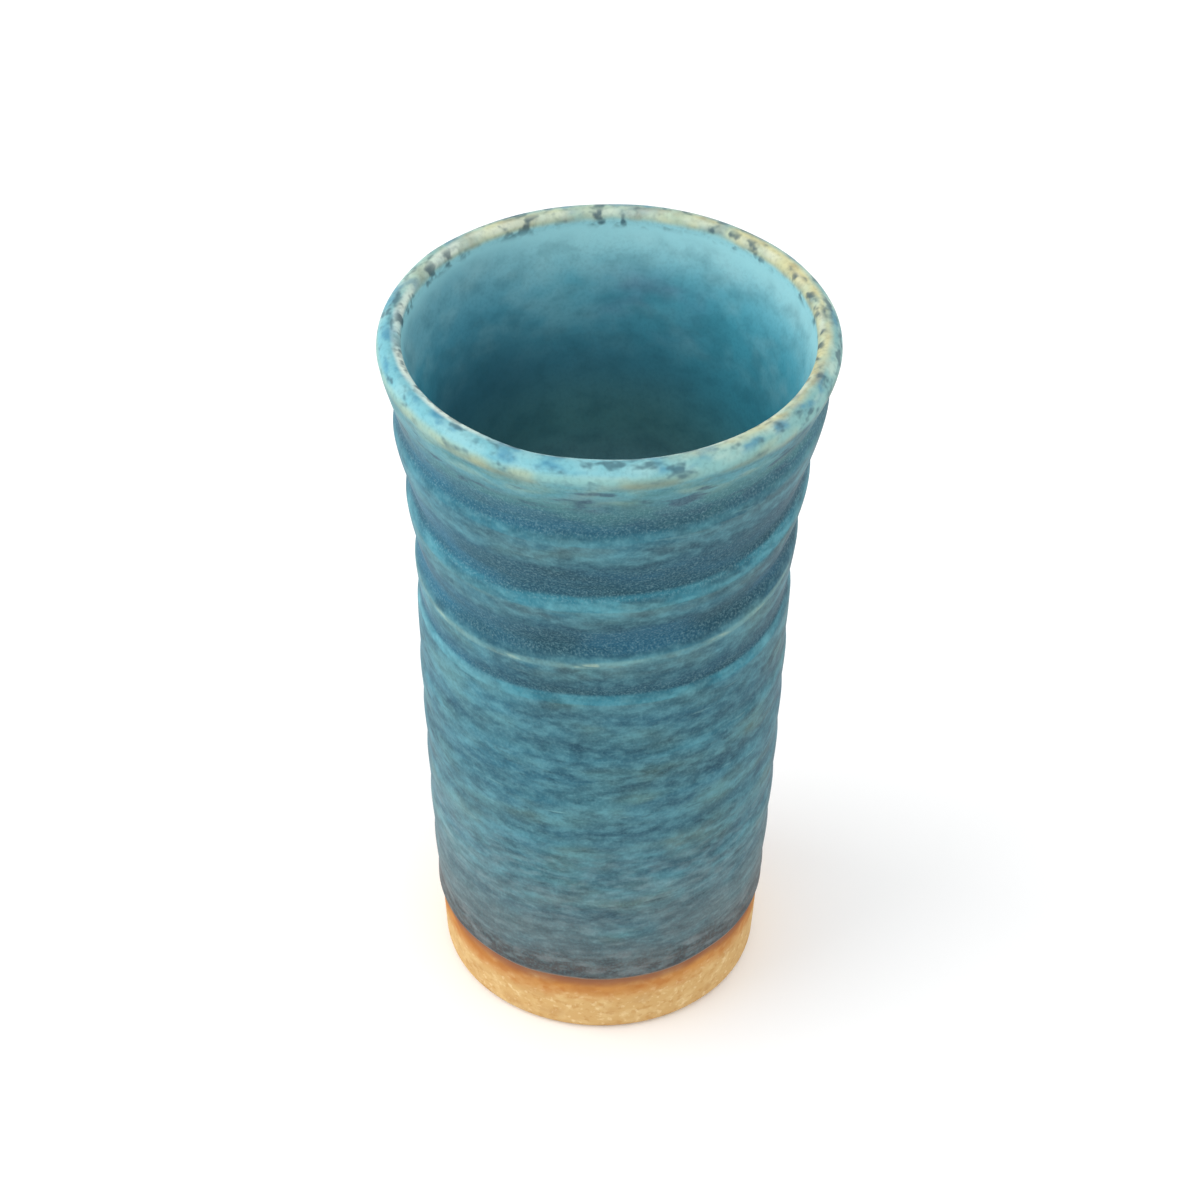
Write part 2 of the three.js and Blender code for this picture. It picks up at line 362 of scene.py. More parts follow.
def ridge_at(angle, height):
    """Groove depth, and how far a point is groove, ledge, crest or brow, for arrays of points."""
    part = np.mod(angle + math.pi, 2 * math.pi) / (2 * math.pi)
    steps = np.arange(-1, len(TURNS))
    levels = np.array([crest_height(step + part) for step in steps])
    below = np.clip((levels <= height).sum(0) - 1, 0, len(steps) - 2)
    here = np.take_along_axis(levels, below[None], 0)[0]
    above = np.take_along_axis(levels, below[None] + 1, 0)[0]
    turns = steps[below] + part
    rise = np.clip(height - here, 0, None)
    gap = np.clip(above - here, 1, None)
    ledge = along_ridge(turns, LEDGE)
    into = (1 - np.cos(np.clip(rise / ledge, 0, 1) * math.pi)) / 2
    out = 1 - np.sin(np.clip((rise - ledge) / (gap - ledge), 0, 1) * math.pi / 2)
    groove = np.where(rise < ledge, into, out)
    on_ledge = np.clip(rise / LEDGE_START, 0, 1)
    on_ledge = on_ledge * np.clip((LEDGE_SHARE * ledge - rise) / LEDGE_FADE + 0.5, 0, 1)
    crest = np.exp(-((rise - CREST_RISE) / CREST_WIDTH) ** 2) * along_ridge(turns, STRAW)
    crest += np.exp(-((gap - rise) / CREST_WIDTH) ** 2) * along_ridge(turns + 1, STRAW)
    # brow: the slope under the next crest, which faces down; the glaze paints shade there
    brow = np.clip(1 - (gap - rise) / BROW_WIDTH, 0, 1) * along_ridge(turns + 1, DEPTH) / FULL_DEPTH
    depth = along_ridge(turns, DEPTH)
    # the ledge's cyan is partly the glaze and partly a painted highlight where the ledge faces up to
    # the light
    cyan_and_painted_highlight = on_ledge * along_ridge(turns, CYAN_AND_PAINTED_HIGHLIGHT)
    return depth * groove, groove * depth / FULL_DEPTH, cyan_and_painted_highlight, crest, brow


print("deepest groove:", max(turn[DEPTH] for turn in TURNS), "mm")

# %% [markdown]
# ## Throwing the wall
# Now every vertex of the outer wall takes its place. It could be sculpted, but a formula over all
# vertices at once can be repeated and measured. The places are first read into arrays, as the angle
# round the axis, the distance from it and the height.

# %% Read the spun vertices, in millimetres
mesh = body.data
place = np.empty(len(mesh.vertices) * 3)
mesh.vertices.foreach_get("co", place)
place = place.reshape(-1, 3) / MM
row = np.empty(len(mesh.vertices))
mesh.attributes["row"].data.foreach_get("value", row)
angle = np.arctan2(place[:, 1], place[:, 0])
radius = np.hypot(place[:, 0], place[:, 1])
height = place[:, 2].copy()
on_wall = (row >= wall_start) & (row < wall_stop)
print(int(on_wall.sum()), "vertices are on the outer wall")

# %% [markdown]
# ### The glaze line
# A pot is dipped by hand, so the line where the glaze stops is lower on the left and waves a little.
# The rows near the foot are tilted with it, so that one of them lies on the line. Cutting the mesh
# along the line would leave slivers.

# %% Tilt the rows near the glaze line
LINE_LIFT = 0.25
LINE_TILT = 0.58
LINE_WAVE = 0.15
LINE_REACH = 18
# share, number of waves round the cup and start of each wave that makes up the line
LINE_WAVES = [(0.6, 7, 1), (0.4, 13, 0), (-1, 3, 0)]


def glaze_line(angle):
    """Height of the glaze's lower edge round the cup, in millimetres."""
    wave = sum(share * np.sin(count * angle + start) for share, count, start in LINE_WAVES)
    return GLAZE_LINE + LINE_LIFT + LINE_TILT * np.cos(angle) + LINE_WAVE * wave


line = glaze_line(angle)
reach = np.where(height < GLAZE_LINE, height / GLAZE_LINE, 1 - (height - GLAZE_LINE) / LINE_REACH)
height += np.where(on_wall, (line - GLAZE_LINE) * np.clip(reach, 0, 1), 0)
print("glaze line from", round(float(line.min()), 2), "to", round(float(line.max()), 2), "mm up")

# %% [markdown]
# ### Pressing the ridge in
# The depth of the groove is taken a little below, at and above each vertex and averaged, because wet
# clay keeps no sharp corner. Wiping the lip also smooths the wall just below it, so the ridge fades out
# there.

# %% Press the ridge into the wall
GROOVE_BLUR = 0.3
LIP_WIPE = 3


def smooth(value, low, high):
    """0 below low, 1 above high and a soft step between."""
    share = np.clip((value - low) / (high - low), 0, 1)
    return share * share * (3 - 2 * share)


blurs = (-GROOVE_BLUR, 0, GROOVE_BLUR)
press = 0
for blur in blurs:
    press = press + ridge_at(angle, height + blur)[0] / len(blurs)
press = press * (1 - smooth(height, lip_spring - LIP_WIPE, lip_spring))
radius = np.where(on_wall, wall_radius(height) - press, radius)
print("pressed in by up to", round(float(np.max(press)), 2), "mm")

# %% [markdown]
# ### The unevenness of a hand
# A slow noise makes the walls as uneven as a hand does. The lip is a little out of round, not quite
# level and slightly wavy, and the wall between foot and lip stands a little to the left. All of it
# fades out towards the foot, which stays flat on the table.

# %% Add the unevenness of a hand
HAND_SIZE = 24
HAND_DEPTH = 0.16
HAND_START = 2
HAND_FULL = 14
LIP_WAVE_SIZE = 11
LIP_WAVE_LEVEL = 50
LIP_WAVE = 0.28
LIP_REACH = 8
LIP_EASE = 12
LEAN = -0.12
LEAN_START = 8
LEAN_FULL = 40
LEAN_STOP = 98
AXIS_RADIUS = 1
# how far the lip reaches out and up beyond a round and level one: angle in degrees from the right
# side, then two lengths in millimetres
LIP_FORM = [
    (-180, 0.05, 0.45), (-135, 0, 0.9), (-90, 0, 1.1), (-45, 0, 1.2), (0, 0.15, 0.8),
    (25, 0.75, 0.6), (45, 0.65, 0.45), (90, 0.15, 0.3), (135, 0.25, 0.3), (155, 0.4, 0.35),
]


def lip_form(angle, column):
    """One of the lengths by which the lip strays, eased between the angles that name it."""
    degrees = [stray[0] for stray in LIP_FORM]
    lengths = [stray[column] for stray in LIP_FORM]
    turned_to = [np.degrees(angle) + shift for shift in (-LIP_EASE, 0, LIP_EASE)]
    return sum(np.interp(turn, degrees, lengths, period=360) for turn in turned_to) / len(turned_to)


hand = np.array([noise.noise(Vector(spot) / HAND_SIZE) for spot in place])
wave = np.array([noise.noise(Vector((x, y, LIP_WAVE_LEVEL)) / LIP_WAVE_SIZE) for x, y in place[:, :2]])
inside_or_wall = row >= wall_start
off_axis = inside_or_wall & (radius > AXIS_RADIUS)
radius += np.where(off_axis, HAND_DEPTH * hand * smooth(height, HAND_START, HAND_FULL), 0)
near_lip = np.where(inside_or_wall, smooth(height, LIP_JOINT - LIP_REACH, LIP_TOP), 0)
radius += lip_form(angle, 1) * near_lip
height += (LIP_WAVE * wave + lip_form(angle, 2)) * near_lip

lean = LEAN * smooth(height, LEAN_START, LEAN_FULL) * (1 - smooth(height, LEAN_STOP, LIP_TOP))
place = np.stack([radius * np.cos(angle) + lean, radius * np.sin(angle), height], 1) * MM
mesh.vertices.foreach_set("co", place.ravel())
crown = height[row == wall_stop + LIP_STEPS]
print("lip from", round(float(crown.min()), 2), "to", round(float(crown.max()), 2), "mm up")

# %% [markdown]
# ### What the glaze needs to know
# Glaze takes its colour from the form below it. What the ridge is at each vertex, how far it lies
# above the glaze line and how far it lies from the lip, measured along the outline, are kept as
# attributes, with the side of the cup that a vertex faces. Copies of the mesh keep them too, and
# shaders can read them. The glaze also uses them to paint light and shade: by the side of the cup, on
# the ledges and on the brows.

# %% Keep attributes for the glaze
# how much straw the lip shows, by the angle in degrees from the right side
LIP_STRAW = [
    (-180, 0.2), (-130, 0.1), (-90, 0.15), (-50, 0.6), (0, 1), (50, 0.8), (90, 0.5), (125, 0.7),
    (180, 0.2),
]

# ledge holds the ledges' cyan, partly a painted highlight, and brow holds where painted shade goes
pool, ledge, crest, brow = ridge_at(angle, height)[1:]
lengths = np.hypot(*np.diff(np.array(outline), axis=0).T)
arc = np.concatenate([[0], np.cumsum(lengths)])
over_lip = np.interp(row, np.arange(len(arc)), arc - arc[wall_stop])
rise = height - line
kept = {
    "pool": np.where(on_wall, pool, 0),
    "ledge": np.where(on_wall, ledge, 0),
    "crest": np.where(on_wall, crest, 0),
    "brow": np.where(on_wall, brow, 0),
    "rise": rise,
    "over_lip": over_lip,
    "side": np.cos(angle),
    "lip_straw": np.interp(np.degrees(angle), *zip(*LIP_STRAW)),
}
for name, values in kept.items():
    mesh.attributes.new(name, "FLOAT", "POINT").data.foreach_set("value", values.astype(np.float32))
wrap = np.stack([radius * np.cos(angle), radius * np.sin(angle), over_lip], 1).astype(np.float32)
mesh.attributes.new("wrap", "FLOAT_VECTOR", "POINT").data.foreach_set("vector", wrap.ravel())
mesh.update()
print("kept", len(kept), "numbers and one vector for each vertex")

# %% [markdown]
# ## Three coats of glaze
# A coat takes the shape of what it covers, so each one starts as a copy of the clay's own skin between
# two rows. Solidify then grows it outwards, and a vertex group sets how thick it is: thin on the
# crests, thick in the grooves, gathered in a bead above the glaze line, and the same on both sides of a
# joint.

# %% Thickness of the glaze, in millimetres
THICKEST = 0.6
WALL_COAT = 0.4
POOL_COAT = 0.6
EDGE_COAT = 0.12
EDGE_START = -0.1
EDGE_STOP = 0.9
BEAD_COAT = 0.5
BEAD_FADE = 1.8
LINER_COAT = 0.45
JOINT_BLEND = 4

coat = WALL_COAT + (POOL_COAT - WALL_COAT) * np.where(on_wall, pool, 0)
coat += (BEAD_COAT - WALL_COAT) * np.exp(-np.clip(rise, 0, None) / BEAD_FADE)
coat = EDGE_COAT + (coat - EDGE_COAT) * smooth(rise, EDGE_START, EDGE_STOP)
coat = np.where(row > inner_joint_row, LINER_COAT, coat)
from_outer_joint = np.abs(row - outer_joint_row) * RIDGE_ROW
from_inner_joint = np.abs(row - inner_joint_row) * LINER_ROW
near_joint = 1 - smooth(np.minimum(from_outer_joint, from_inner_joint), 0, JOINT_BLEND)
coat = coat + (LIP_COAT - coat) * near_joint
coat = np.where((row >= outer_joint_row) & (row <= inner_joint_row), LIP_COAT, coat)

thickness = body.vertex_groups.new(name="coat")
for index, value in enumerate(np.clip(coat / THICKEST, 0, 1)):
    thickness.add([index], float(value), "REPLACE")
print("coat from", round(float(coat.min()), 2), "to", round(float(coat.max()), 2), "mm")

# %% [markdown]
# ### Cutting out a coat
# The clay is copied, all rows that the coat doesn't cover are deleted, and Solidify gives the rest its
# thickness. Two coats share the row at their joint, so they meet without a gap.

# %% Copy the skin of the clay and thicken it
SMOOTH_ANGLE = math.radians(50)


def fired_coat(name, first_row, last_row):
    """The clay's skin between two rows, thickened outwards into a coat of glaze."""
    bpy.ops.object.select_all(action="DESELECT")
    body.select_set(True)
    bpy.context.view_layer.objects.active = body
    bpy.ops.object.duplicate()
    piece = bpy.context.object
    piece.name = name
    bpy.ops.object.mode_set(mode="EDIT")
    bpy.ops.mesh.select_mode(type="VERT")
    bpy.ops.mesh.select_all(action="DESELECT")
    bpy.ops.object.mode_set(mode="OBJECT")
    outside = (row < first_row) | (row > last_row)
    piece.data.vertices.foreach_set("select", outside)
    bpy.ops.object.mode_set(mode="EDIT")
    bpy.ops.mesh.delete(type="VERT")
    bpy.ops.object.mode_set(mode="OBJECT")
    thicken = piece.modifiers.new("coat", "SOLIDIFY")
    thicken.thickness = THICKEST * MM
    thicken.offset = 1
    thicken.vertex_group = "coat"
    bpy.ops.object.modifier_apply(modifier=thicken.name)
    bpy.ops.object.shade_smooth_by_angle(angle=SMOOTH_ANGLE)
    print(name, "has", len(piece.data.polygons), "faces")
    return piece


outer_coat = fired_coat("dipped_outer_coat", glaze_row, outer_joint_row)
lip_coat = fired_coat("lip_coat", outer_joint_row, inner_joint_row)
liner_coat = fired_coat("poured_liner", inner_joint_row, len(outline))

# %% [markdown]
# ## The foot
# The potter runs a finger round the foot before the pot is cut from the wheel, so its lower edge is
# round. The edge loop on the table plane is bevelled in four steps.

# %% Round the edge of the foot
FOOT_ROUND = 1.3
FOOT_STEPS = 4

bpy.ops.object.select_all(action="DESELECT")
body.select_set(True)
bpy.context.view_layer.objects.active = body
bpy.ops.object.mode_set(mode="EDIT")
bpy.ops.mesh.select_mode(type="EDGE")
bpy.ops.mesh.select_all(action="DESELECT")
bpy.ops.object.mode_set(mode="OBJECT")
foot_vertices = row == wall_start - 1
for edge in mesh.edges:
    edge.select = bool(foot_vertices[edge.vertices[0]] and foot_vertices[edge.vertices[1]])
bpy.ops.object.mode_set(mode="EDIT")
bpy.ops.mesh.bevel(offset=FOOT_ROUND * MM, segments=FOOT_STEPS)
bpy.ops.object.mode_set(mode="OBJECT")
bpy.ops.object.shade_smooth_by_angle(angle=SMOOTH_ANGLE)
print("clay has", len(mesh.polygons), "faces")

# %% [markdown]
# ## Materials
# One function turns a hex colour into the linear numbers that shaders use, and one adds a node with
# its settings and links. Every pattern is sized in millimetres.

# %% Colour and node helpers
def linear(code):
    """An sRGB hex colour as linear red, green, blue and alpha."""
    parts = [int(code[i:i + 2], 16) / 255 for i in (1, 3, 5)]
    return [p / 12.92 if p <= 0.04045 else ((p + 0.055) / 1.055) ** 2.4 for p in parts] + [1]


def add_node(tree, kind, inputs, **settings):
    """A node with its settings, each input either linked to a socket or given a value."""
    node = tree.nodes.new(kind)
    for name, value in settings.items():
        setattr(node, name, value)
    for socket, value in inputs.items():
        if isinstance(value, bpy.types.NodeSocket):
            tree.links.new(value, node.inputs[socket])
        else:
            node.inputs[socket].default_value = value
    return node


def new_material(name):
    """An empty material with a principled shader, and its tree."""
    material = bpy.data.materials.new(name)
    material.use_nodes = True
    return material, material.node_tree, material.node_tree.nodes["Principled BSDF"]


print("half grey in linear light:", round(linear("#808080")[0], 3))

# %% [markdown]
# ### Floor: white matt board
# A plain board, so that only the cup has colour. It is so rough that it mirrors nothing.

# %% Floor material
BOARD_COLOUR = "#FBFBFB"
BOARD_ROUGHNESS = 0.9

board, tree, shader = new_material("white_matt_board")
shader.inputs["Base Color"].default_value = linear(BOARD_COLOUR)
shader.inputs["Roughness"].default_value = BOARD_ROUGHNESS
floor.data.materials.append(board)
print("the floor is", board.name)

# %% [markdown]
# ### Laying colours over each other
# Clay and glaze both get their look from thin layers: a base colour, then clouds, dashes and specks,
# each only where it belongs. On the glaze some layers are painted light and shade. A layer is a colour,
# an amount and a list of gates. A gate opens between two values of an attribute that the wall keeps, or
# of a noise whose length and height are given in millimetres. Each layer's noise starts at a place
# taken from its colour, so a layer that two coats share runs on from one to the other without a seam.

# %% Paint layers
# the Mix node has sockets for each kind of data, and these are the ones for colour
MIX_A, MIX_B, MIX_RESULT = 6, 7, 2
LAYER_SPREAD = 197
CLOUD_DETAIL = 2
GRAIN_DETAIL = 3


def cloud(tree, wrap, start, length, tall):
    """A noise with clouds of a length and height in millimetres, moved to its own start."""
    moved = add_node(tree, "ShaderNodeMapping", {
        "Vector": wrap, "Location": [start] * 3, "Scale": (1 / length, 1 / length, 1 / tall)})
    return add_node(tree, "ShaderNodeTexNoise", {
        "Vector": moved.outputs[0], "Scale": 1, "Detail": CLOUD_DETAIL}).outputs["Fac"]


def paint(tree, colour, layers):
    """Mix each layer's colour over the last one where all its gates are open."""
    wrap = add_node(tree, "ShaderNodeAttribute", {}, attribute_name="wrap").outputs["Vector"]
    for tint, amount, gates in layers:
        start = int(tint[1:], 16) % LAYER_SPREAD
        mask = amount
        for source, low, high in gates:
            if isinstance(source, str):
                value = add_node(tree, "ShaderNodeAttribute", {}, attribute_name=source).outputs["Fac"]
            else:
                value = cloud(tree, wrap, start, *source)
            mask = add_node(tree, "ShaderNodeMapRange", {
                "Value": value, "From Min": low, "From Max": high, "To Max": mask},
                interpolation_type="SMOOTHSTEP").outputs[0]
        colour = add_node(tree, "ShaderNodeMix", {0: mask, MIX_A: colour, MIX_B: linear(tint)},
                          data_type="RGBA").outputs[MIX_RESULT]
    return colour


def roughen(tree, shader, size, depth, strength):
    """A fine bump on the shader, with grains of a size and depth in metres."""
    spot = add_node(tree, "ShaderNodeTexCoord", {}).outputs["Object"]
    grain = add_node(tree, "ShaderNodeTexNoise", {
        "Vector": spot, "Scale": 1 / size, "Detail": GRAIN_DETAIL})
    bump = add_node(tree, "ShaderNodeBump", {
        "Height": grain.outputs["Fac"], "Strength": strength, "Distance": depth})
    tree.links.new(bump.outputs[0], shader.inputs["Normal"])


# %% [markdown]
# ### Bare stoneware, fired to a sandy ochre
# Unglazed clay is matt and shows its sand as pale and orange specks. Along the glaze line, vapour from
# the glaze flashes it orange brown, and the colour fades downwards within a few millimetres. A high
# roughness and a low specular level keep it dry to the eye, and a bump as coarse as the sand breaks up
# the light.

# %% Stoneware
CLAY_COLOUR = "#C4A069"
CLAY_ROUGHNESS = 0.85
CLAY_SPECULAR = 0.2
CERAMIC_IOR = 1.5
SAND_SIZE = 0.7 * MM
SAND_DEPTH = 0.12 * MM
SAND_STRENGTH = 0.5
CLAY = [
    ("#D6BB88", 0.45, [((2.4, 1.8), 0.46, 0.68)]),
    ("#AC7A3C", 0.40, [((1.2, 1.0), 0.52, 0.70)]),
    ("#E2CDA0", 0.45, [((0.9, 0.8), 0.56, 0.72)]),
    ("#A87A45", 0.35, [((6.0, 3.0), 0.50, 0.70)]),
    ("#B97C38", 0.75, [("rise", -5.6, -2.2), ((8, 4), 0.15, 0.50)]),
    ("#AE6C32", 0.55, [("rise", -6.4, -3.0), ((2.4, 1.8), 0.50, 0.68)]),
    ("#B0702F", 0.45, [("rise", -6.2, -2.8), ("side", -0.2, -0.8)]),
    ("#9E602C", 0.85, [("rise", -4.4, -1.2), ((5.0, 3.0), 0.30, 0.62)]),
    ("#7E5442", 0.80, [("rise", -2.3, -0.3)]),
]

stoneware, tree, shader = new_material("bare_sandy_stoneware")
tree.links.new(paint(tree, linear(CLAY_COLOUR), CLAY), shader.inputs["Base Color"])
shader.inputs["Roughness"].default_value = CLAY_ROUGHNESS
shader.inputs["IOR"].default_value = CERAMIC_IOR
shader.inputs["Specular IOR Level"].default_value = CLAY_SPECULAR
roughen(tree, shader, SAND_SIZE, SAND_DEPTH, SAND_STRENGTH)
print(stoneware.name, "has", len(CLAY), "layers")

# %% [markdown]
# ### Satin copper glaze, outside
# A semi-matt stoneware glaze coloured by copper. It is turquoise where it is even, slate blue with fine
# pale crystals where it pools, cyan on the ledges, and it breaks to straw where it runs thin on a
# crest. The ledges' cyan is partly a painted highlight, since they face up to the light. Painted light
# makes the left side lighter where the key softbox falls, and painted shade darkens the brows under the
# crests away from the left. Dipping and wiping leave level dashes, and the broad level bands of light
# and dark are partly painted shading of the throwing rings. The thin lower edge has burnt to grey. Real
# crystals are about a tenth of a millimetre wide. They are drawn three to five times coarser here, so
# that they can be seen.

# %% Layers of the outside
WALL_GLAZE_AND_PAINTED_LIGHT = [
    # level light and dark bands: partly the glaze's dashes, partly painted shading of the throwing
    # rings
    ("#26566A", 0.50, [((60, 6), 0.38, 0.66)]),
    ("#5B99A6", 0.33, [((60, 4), 0.42, 0.70)]),
    ("#1D4656", 0.42, [((34, 2.4), 0.40, 0.70)]),
    ("#5C7668", 0.66, [((12, 5), 0.42, 0.72)]),
    ("#1F6178", 0.42, [((14, 7), 0.44, 0.72)]),
    ("#667575", 0.62, [("rise", 42.0, 8.0), ((14, 6), 0.28, 0.62)]),
    # painted light: the upper left side, where the key softbox falls, is made lighter
    ("#4E9DB2", 0.25, [("side", -0.3, -0.9), ("rise", 28.0, 50.0)]),
    ("#1D3F4E", 0.50, [((13, 4.0), 0.36, 0.74), ("pool", 0.60, 0.10)]),
    ("#5B98A3", 0.42, [((8.4, 2.8), 0.36, 0.74), ("pool", 0.60, 0.10)]),
    ("#1A343F", 0.38, [((3.4, 0.8), 0.58, 0.68), ("rise", 9.0, 15.0), ("rise", 60.0, 45.0)]),
    ("#8DB8B6", 0.24, [((8, 0.7), 0.66, 0.76), ("pool", 0.30, 0.05)]),
    # painted light: the lower left side, where the key softbox falls, is made lighter
    ("#7FA3AA", 0.35, [("side", -0.3, -0.9), ("rise", 40.0, 16.0)]),
    # painted shade: the brows under the crests face down and are made darker, except on the lit left
    # side
    ("#475E62", 0.58, [("brow", 0.1, 0.8), ("side", -0.75, -0.3), ((9, 4), 0.34, 0.58)]),
    ("#1D4354", 0.88, [("pool", 0.01, 0.34)]),
    # painted light: the pools on the left side, where the key softbox falls, are made lighter
    ("#266C88", 0.50, [("pool", 0.05, 0.40), ("side", -0.3, -0.9)]),
    ("#22607E", 0.34, [("pool", 0.10, 0.50), ((20, 8), 0.50, 0.68)]),
    ("#1B3C46", 0.42, [("pool", 0.10, 0.50), ((12, 4), 0.42, 0.66)]),
    ("#4F7F8C", 0.24, [("over_lip", -11.0, -6.0)]),
    # cyan on the ledges: partly the glaze, partly a painted highlight, as the ledges face up to the
    # light
    ("#357A8B", 0.68, [("ledge", 0.10, 0.80), ((6, 2), 0.26, 0.62)]),
    ("#66AAB4", 0.36, [("ledge", 0.30, 0.95), ((5, 1.4), 0.46, 0.68)]),
    # painted highlight: a light cyan line on the ledges of the left side, where the key softbox falls
    ("#7CC0CC", 0.50, [("ledge", 0.10, 1.00), ("side", -0.3, -0.9), ("rise", 63.0, 58.0),
                       ((6, 2.4), 0.32, 0.66)]),
    ("#7A9D98", 0.52, [("crest", 0.25, 0.85), ((8, 2), 0.26, 0.52)]),
    ("#A3B8A4", 0.60, [("crest", 0.60, 1.00), ((4.5, 1.4), 0.54, 0.66)]),
    ("#1A3948", 0.44, [((3.8, 2.0), 0.36, 0.76), ("pool", 0.60, 0.10)]),
    ("#68A1AA", 0.32, [((2.2, 1.2), 0.36, 0.76), ("pool", 0.60, 0.10)]),
    ("#556164", 0.85, [("rise", 22.0, 7.0), ((14, 6), 0.20, 0.56)]),
    ("#4D4948", 0.95, [("rise", 7.0, 2.4), ((9, 4), 0.05, 0.40)]),
    ("#263A42", 0.36, [("rise", 34.0, 20.0), ((3.8, 1.3), 0.38, 0.74)]),
    ("#8FA8AB", 0.22, [("rise", 34.0, 20.0), ((2.8, 1.0), 0.40, 0.74)]),
    ("#788082", 0.45, [("rise", 8.0, 4.0), ((3.2, 1.6), 0.50, 0.70)]),
    ("#33363B", 0.70, [("rise", 2.2, 0.6), ((6, 2), 0.42, 0.60)]),
    ("#8A6A55", 0.85, [("rise", 0.65, 0.15)]),
    ("#5B949C", 0.85, [("over_lip", -8.0, -1.0), ((12, 4), 0.26, 0.52)]),
    ("#6C7F80", 0.50, [("over_lip", -7.0, -3.0), ((9, 3), 0.50, 0.68)]),
    ("#3F6E70", 0.60, [("over_lip", -10.0, -6.0), ("over_lip", -0.5, -2.0), ((7, 2.2), 0.42, 0.66)]),
    ("#93A78F", 0.32, [("over_lip", -6.0, -2.5), ("over_lip", 0.5, -1.0), ((6, 2.0), 0.44, 0.72)]),
    ("#33485A", 0.75, [("over_lip", -10.0, -5.0), ("over_lip", -0.8, -2.0), ((6, 1.5), 0.54, 0.68)]),
    ("#16343E", 0.14, [((0.5, 0.5), 0.38, 0.74)]),
    ("#79AAB2", 0.12, [((0.4, 0.4), 0.40, 0.74)]),
    ("#8FB6BC", 0.20, [((0.3, 0.3), 0.46, 0.74), ("pool", 0.15, 0.50)]),
]
print("layers outside:", len(WALL_GLAZE_AND_PAINTED_LIGHT))

# %% [markdown]
# ### Satin copper glaze, inside
# The poured coat is smooth and even. It is pale near the lip, where it ran thin and where light falls
# in over the front lip, so that band is partly painted light. Lower down the colour deepens, then pales
# again towards the floor, which is painted light for the deep inside that the lamps leave dim. Painted
# shade darkens the left wall and the lower right, and painted light brightens the right wall higher up.
# A few cloudy patches lie over it all.

# %% Layers of the inside
LINER_GLAZE_AND_PAINTED_LIGHT = [
    # pale at the rim: the glaze ran thin there, and partly painted light where light falls in over the
    # front lip
    ("#98D0D7", 1.00, [("over_lip", 3.2, 4.4)]),
    ("#5AA8BC", 0.95, [("over_lip", 6.0, 17.0)]),
    ("#40788A", 0.95, [("over_lip", 12.0, 28.0)]),
    # painted light: paler again towards the floor, standing in for light that the lamps bring in too
    # little
    ("#5E9396", 0.95, [("over_lip", 24.0, 38.0)]),
    ("#94C0C8", 0.95, [("over_lip", 36.0, 52.0)]),
    # painted shade: the left inner wall faces away from the key softbox and is made darker, high and
    # low
    ("#3F8096", 0.55, [("side", -0.2, -0.8), ("over_lip", 4.0, 8.0), ("over_lip", 28.0, 14.0)]),
    ("#2A5663", 0.45, [("side", -0.2, -0.7), ("over_lip", 12.0, 24.0), ("over_lip", 52.0, 38.0)]),
    # painted shade: the right inner wall is made darker lower down
    ("#2C6878", 0.40, [("side", 0.6, 0.95), ("over_lip", 10.0, 17.0), ("over_lip", 42.0, 28.0)]),
    # painted light: the right inner wall, which the key softbox lights, is made lighter higher up
    ("#42A2B6", 0.45, [("side", 0.2, 0.8), ("over_lip", 6.0, 12.0), ("over_lip", 44.0, 26.0)]),
    ("#3C93A6", 0.45, [("over_lip", 8.0, 14.0), ("over_lip", 44.0, 20.0), ((30, 24), 0.40, 0.70)]),
    ("#7488A0", 0.45, [("side", -0.2, 0.15), ("side", 0.65, 0.3), ("over_lip", 10.0, 14.0),
                       ("over_lip", 25.0, 17.0), ((9, 5), 0.36, 0.70)]),
    ("#A5CDCF", 0.25, [("over_lip", 5.0, 8.0), ("over_lip", 30.0, 14.0), ((7, 5), 0.40, 0.74)]),
    ("#2A5E6C", 0.28, [("over_lip", 5.0, 8.0), ((4, 3), 0.40, 0.74)]),
    ("#1F4C58", 0.12, [("over_lip", 5.0, 9.0), ((0.5, 0.5), 0.40, 0.74)]),
]
print("layers inside:", len(LINER_GLAZE_AND_PAINTED_LIGHT))

# %% [markdown]
# ### Satin copper glaze, over the lip
# On the lip both coats run thin over the clay and break to pale mint and straw. Iron in the clay comes
# through as dark spots along the inner edge and as short dashes outside. The pale line along the inner
# edge is partly the glaze breaking thin and partly a painted highlight, stronger on the left, where the
# key softbox falls.

